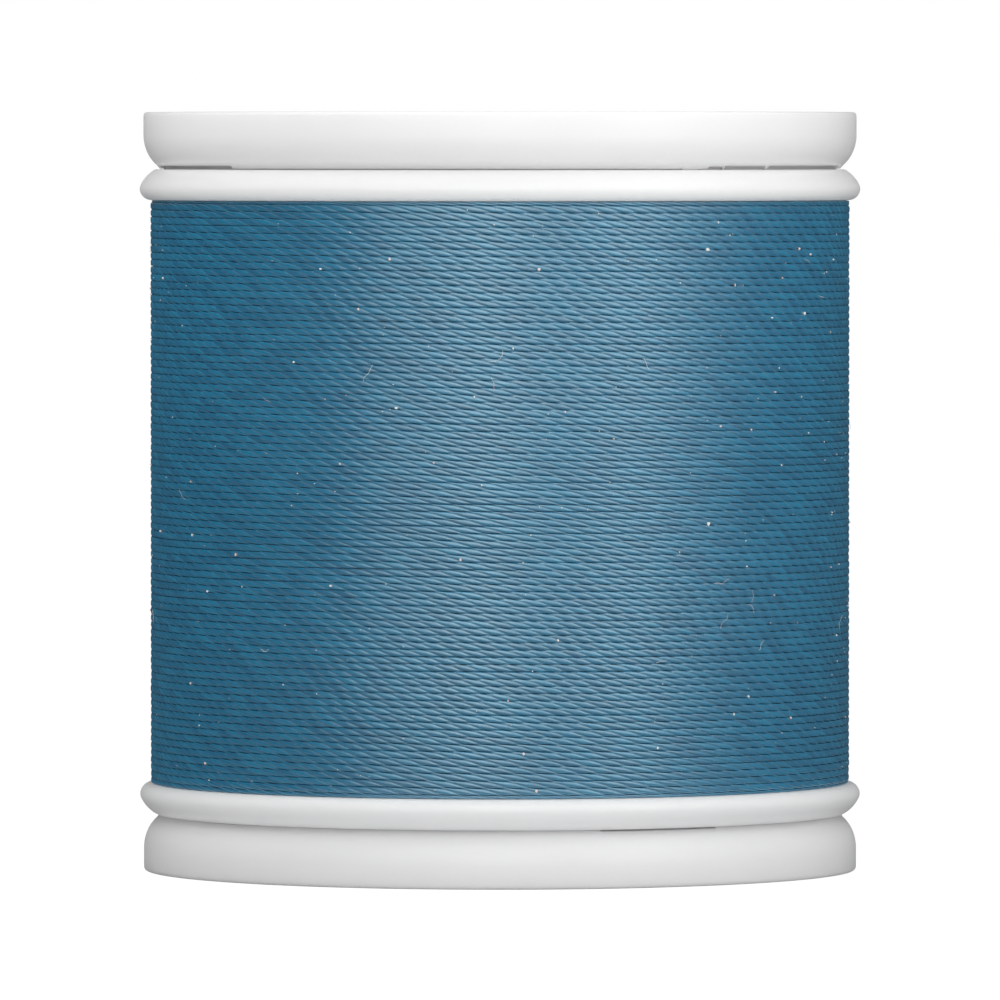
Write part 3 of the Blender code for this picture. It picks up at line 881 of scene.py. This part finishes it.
def smooth_route(places, spacing):
    """Evenly spaced points on the Catmull-Rom curve through (degrees, radius, height)."""
    turn, reach, height = np.array(places, float).T
    knots = np.stack([reach * np.cos(np.radians(turn)), reach * np.sin(np.radians(turn)),
                      height], axis=1)
    ends = np.vstack([2 * knots[0] - knots[1], knots, 2 * knots[-1] - knots[-2]])
    a, b, c, d = (ends[i:i + len(knots) - 1, None] for i in range(4))
    t = np.linspace(0, 1, 60, endpoint=False)[:, None]
    curve = 0.5 * (2 * b + (c - a) * t + (2 * a - 5 * b + 4 * c - d) * t**2
                   + (3 * b - a - 3 * c + d) * t**3)
    curve = np.vstack([curve.reshape(-1, 3), knots[-1:]])
    length = np.append(0, np.cumsum(np.linalg.norm(np.diff(curve, axis=0), axis=1)))
    stops = np.linspace(0, length[-1], round(length[-1] / spacing) + 1)
    return np.stack([np.interp(stops, length, axis) for axis in curve.T], axis=1), stops


def tube(route, reach):
    """Points and triangles of a closed tube along a route, in metres.

    reach is its radius at each place of the route and each even step of angle round it.
    The last 2 * around triangles close its ends.
    """
    count, around = reach.shape
    ahead = np.gradient(route, axis=0)
    ahead /= np.linalg.norm(ahead, axis=1, keepdims=True)
    up = np.array([0, 0, 1.0]) - ahead * ahead[:, 2:]
    up /= np.linalg.norm(up, axis=1, keepdims=True)
    out = np.cross(up, ahead)
    b = (np.arange(around) / around * math.tau)[:, None]
    ring = np.cos(b) * out[:, None] + np.sin(b) * up[:, None]
    points = (route[:, None] + reach[:, :, None] * ring).reshape(-1, 3)
    j, i = np.meshgrid(np.arange(count - 1), np.arange(around), indexing="ij")
    i_next = (i + 1) % around
    quads = np.stack([j * around + i, j * around + i_next, (j + 1) * around + i_next,
                      (j + 1) * around + i], axis=2).reshape(-1, 4)
    rim, following = np.arange(around), (np.arange(around) + 1) % around
    last = (count - 1) * around
    near_hub = np.full(around, count * around)
    near_end = np.stack([following, rim, near_hub], axis=1)
    far_end = np.stack([last + rim, last + following, near_hub + 1], axis=1)
    triangles = np.concatenate([quads[:, [0, 1, 2]], quads[:, [0, 2, 3]], near_end, far_end])
    return np.vstack([points, route[0], route[-1]]) * MM, triangles


def twisted_thread(name, route, stops, around=18):
    """A free three-ply thread along a route, with closed ends.

    At place s and angle b round it, the radius is R (1 - 0.17 |2f - 1|^2.4), where f is
    the fraction of b/120 deg - s/mark, so the grooves between the plies wind round it.
    """
    b = np.arange(around + 1) / around * math.tau
    passed = stops / MARK_LENGTH
    groove = np.abs(2 * ((b[None] / PLY_TURN - passed[:, None]) % 1.0) - 1)**2.4
    points, triangles = tube(route, TAIL_RADIUS * (1 - 0.17 * groove[:, :-1]))
    j, i = np.meshgrid(np.arange(len(route) - 1), np.arange(around), indexing="ij")
    corners = ((j, i), (j, i + 1), (j + 1, i + 1), (j + 1, i))
    uv = np.stack([np.stack([passed[row], b[column] / PLY_TURN], axis=2)
                   for row, column in corners], axis=2).reshape(-1, 4, 2)
    uv = np.concatenate([uv[:, [0, 1, 2]], uv[:, [0, 2, 3]], np.zeros((2 * around, 3, 2))])
    return thread_mesh(name, points, np.zeros(len(points)), triangles, uv)


route, stops = smooth_route(OVER_THE_BEAD + IN_THE_STORE, 0.1)
tail = twisted_thread("loose_thread_end", route, stops)
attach(tail, "spool_body")
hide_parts("thread_tail")


# ---------------------------------------------------------------- dust and fibres
# Lint and a few broken filaments that cling to the winding, as on any thread that has
# been handled. The specks are small crumpled grains, the filaments thin curved hairs.

LINT_ROUGHNESS = 0.8
SCATTERED = 520
HAIRS = 26
HAIR_KNOTS = 6
lint_material, tree, output = new_material("pale_lint")
shader = tree.nodes.new("ShaderNodeBsdfPrincipled")
tree.links.new(shader.outputs[0], output.inputs["Surface"])
lint_tone = tree.nodes.new("ShaderNodeValToRGB")
lint_tone.color_ramp.elements[0].position = 0.35
lint_tone.color_ramp.elements[0].color = (0.90, 0.62, 0.52, 1.0)
lint_tone.color_ramp.elements[1].position = 0.55
lint_tone.color_ramp.elements[1].color = (0.86, 0.88, 0.84, 1.0)
spot = tree.nodes.new("ShaderNodeTexCoord").outputs["Object"]
tree.links.new(noise(tree, spot, 700.0, 1.0), lint_tone.inputs["Fac"])
tree.links.new(lint_tone.outputs["Color"], shader.inputs["Base Color"])
shader.inputs["Roughness"].default_value = LINT_ROUGHNESS

rng = np.random.default_rng(41)


def on_winding(right, height):
    """Points on the winding's crown from degrees right of the front and height in mm."""
    angle = np.radians(right - 90)
    return np.stack([WOUND_RADIUS * np.cos(angle), WOUND_RADIUS * np.sin(angle), height], axis=-1)


ball = bmesh.new()
bmesh.ops.create_icosphere(ball, subdivisions=1, radius=1.0)
ball_points = np.array([vertex.co[:] for vertex in ball.verts])
ball_faces = np.array([[vertex.index for vertex in face.verts] for face in ball.faces])
ball.free()
# Each speck is (degrees right of the front, height and radius in mm). The larger ones at
# the front are named one by one, and the others lie anywhere.
SEEN_SPECKS = np.array([
    (6.2, 32.2, 0.100), (-30.1, 32.2, 0.080), (-16.8, 25.0, 0.085), (-28.2, 15.7, 0.090),
    (35.7, 18.9, 0.085), (1.3, 9.8, 0.090), (5.8, 5.1, 0.080), (35.5, 33.2, 0.085),
    (57.6, 33.2, 0.070), (61.3, 32.9, 0.070), (-48.0, 17.2, 0.070), (41.0, 8.9, 0.080)])
scattered = np.stack([
    rng.uniform(-180, 180, SCATTERED), rng.uniform(5.0, 35.4, SCATTERED),
    0.024 + 0.046 * rng.random(SCATTERED)**3,
], axis=1)
specks = np.concatenate([SEEN_SPECKS, scattered])
stretch = rng.uniform(0.6, 1.5, (len(specks), 1, 3))
crumple = rng.uniform(0.65, 1.2, (len(specks), len(ball_points), 1))
grains = on_winding(specks[:, 0], specks[:, 1])[:, None] + (
    specks[:, 2, None, None] * stretch * crumple * ball_points)
grain_faces = ball_faces + np.arange(len(specks))[:, None, None] * len(ball_points)
lint = link_mesh("lint_specks", grains.reshape(-1, 3) * MM, grain_faces.reshape(-1, 3),
                 lint_material)

hair_points, hair_faces, used = [], [], 0
places = np.concatenate([
    [(40.0, 16.0), (44.0, 14.6), (38.0, 13.4), (46.5, 12.2), (66.0, 30.6), (-2.0, 27.4)],
    np.stack([rng.uniform(-180, 180, HAIRS), rng.uniform(6.0, 34.5, HAIRS)], axis=1)])
for right, height in places:
    heading = rng.uniform(0, math.tau)
    bends = heading + np.cumsum(rng.uniform(-0.7, 0.7, HAIR_KNOTS - 1))
    step = rng.uniform(0.10, 0.24)
    across = np.append(0, np.cumsum(np.cos(bends))) * step
    up = np.append(0, np.cumsum(np.sin(bends))) * step
    lifts = 0.01 + rng.uniform(0, 0.06, HAIR_KNOTS)
    knots = [(right - 90 + math.degrees(a / WOUND_RADIUS), WOUND_RADIUS + lift, height + h)
             for a, lift, h in zip(across, lifts, up)]
    route, _ = smooth_route(knots, 0.12)
    points, triangles = tube(route, np.full((len(route), 4), rng.uniform(0.006, 0.010)))
    hair_points.append(points)
    hair_faces.append(triangles + used)
    used += len(points)
hairs = link_mesh(
    "stray_filaments", np.vstack(hair_points), np.vstack(hair_faces), lint_material)
for piece in (lint, hairs):
    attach(piece, "spool_body")
